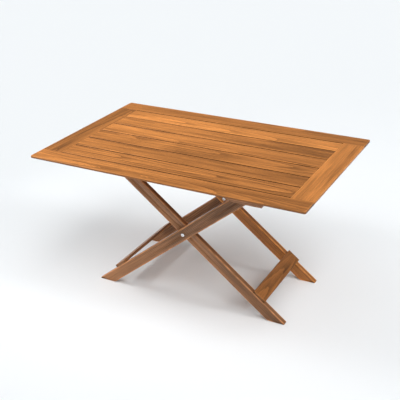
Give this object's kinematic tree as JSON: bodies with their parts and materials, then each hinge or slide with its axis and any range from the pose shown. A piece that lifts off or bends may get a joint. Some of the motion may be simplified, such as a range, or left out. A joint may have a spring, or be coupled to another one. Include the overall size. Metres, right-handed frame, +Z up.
{
  "type": "folding picnic table",
  "caption": "Low oblong folding table with a framed slatted wooden top on two crossing leg frames that fold flat beneath it.",
  "frame": {"origin": "on the floor under the middle of the table top", "axes": "+Z up, +X along the top towards the hinged end, -Y the front"},
  "size_m": [1.2, 0.765, 0.628],
  "materials": {
    "teak_slats": "oiled teak, satin",
    "teak_rails": "oiled teak, satin",
    "teak_legs": "oiled teak, satin",
    "teak_stretchers": "oiled teak, satin",
    "teak_underframe": "oiled teak, satin",
    "beech_dowels": "bare wood",
    "polished_steel": "polished stainless steel",
    "brushed_steel": "satin stainless steel"
  },
  "bodies": {
    "top": {"batten_left": "teak_underframe", "batten_middle": "teak_underframe", "batten_right": "teak_underframe", "end_rail_left": "teak_rails", "end_rail_right": "teak_rails", "hinge_block_front": "teak_underframe", "hinge_block_rear": "teak_underframe", "hinge_block_screw_front_left": "brushed_steel", "hinge_block_screw_front_right": "brushed_steel", "hinge_block_screw_rear_left": "brushed_steel", "hinge_block_screw_rear_right": "brushed_steel", "rail_front": "teak_rails", "rail_rear": "teak_rails", "slat_1": "teak_slats", "slat_2": "teak_slats", "slat_3": "teak_slats", "slat_4": "teak_slats", "slat_5": "teak_slats", "slat_6": "teak_slats", "slide_block_front": "teak_underframe", "slide_block_rear": "teak_underframe", "slide_block_screw_front_left": "brushed_steel", "slide_block_screw_front_right": "brushed_steel", "slide_block_screw_rear_left": "brushed_steel", "slide_block_screw_rear_right": "brushed_steel"},
    "outer_frame": {"dowel_outer_front_1": "beech_dowels", "dowel_outer_front_2": "beech_dowels", "dowel_outer_rear_1": "beech_dowels", "dowel_outer_rear_2": "beech_dowels", "hinge_bolt_front": "polished_steel", "hinge_bolt_rear": "polished_steel", "hinge_nut_front": "polished_steel", "hinge_nut_rear": "polished_steel", "hinge_washer_front": "brushed_steel", "hinge_washer_rear": "brushed_steel", "leg_outer_front": "teak_legs", "leg_outer_rear": "teak_legs", "pivot_bolt_front": "polished_steel", "pivot_bolt_rear": "polished_steel", "pivot_nut_front": "polished_steel", "pivot_nut_rear": "polished_steel", "pivot_washer_front": "brushed_steel", "pivot_washer_rear": "brushed_steel", "stretcher_outer": "teak_stretchers"},
    "inner_frame": {"dowel_inner_front_1": "beech_dowels", "dowel_inner_front_2": "beech_dowels", "dowel_inner_rear_1": "beech_dowels", "dowel_inner_rear_2": "beech_dowels", "leg_inner_front": "teak_legs", "leg_inner_rear": "teak_legs", "rod_screw_front": "brushed_steel", "rod_screw_rear": "brushed_steel", "rod_washer_front": "brushed_steel", "rod_washer_rear": "brushed_steel", "slide_rod": "polished_steel", "stretcher_inner": "teak_stretchers"}
  },
  "joints": [
    {"name": "outer_fold", "type": "hinge", "parent": "top", "child": "outer_frame", "pos_m": [0.2988, 0, 0.552], "axis": [0, 1, 0], "range_deg": [0, 38.9]},
    {"name": "inner_fold", "type": "hinge", "parent": "outer_frame", "child": "inner_frame", "pos_m": [0.015, 0, 0.323], "axis": [0, 1, 0], "range_deg": [-77, 0]}
  ],
  "couplings": [
    {"joint": "inner_fold", "follows": "outer_fold", "ratio": -1.9794}
  ]
}
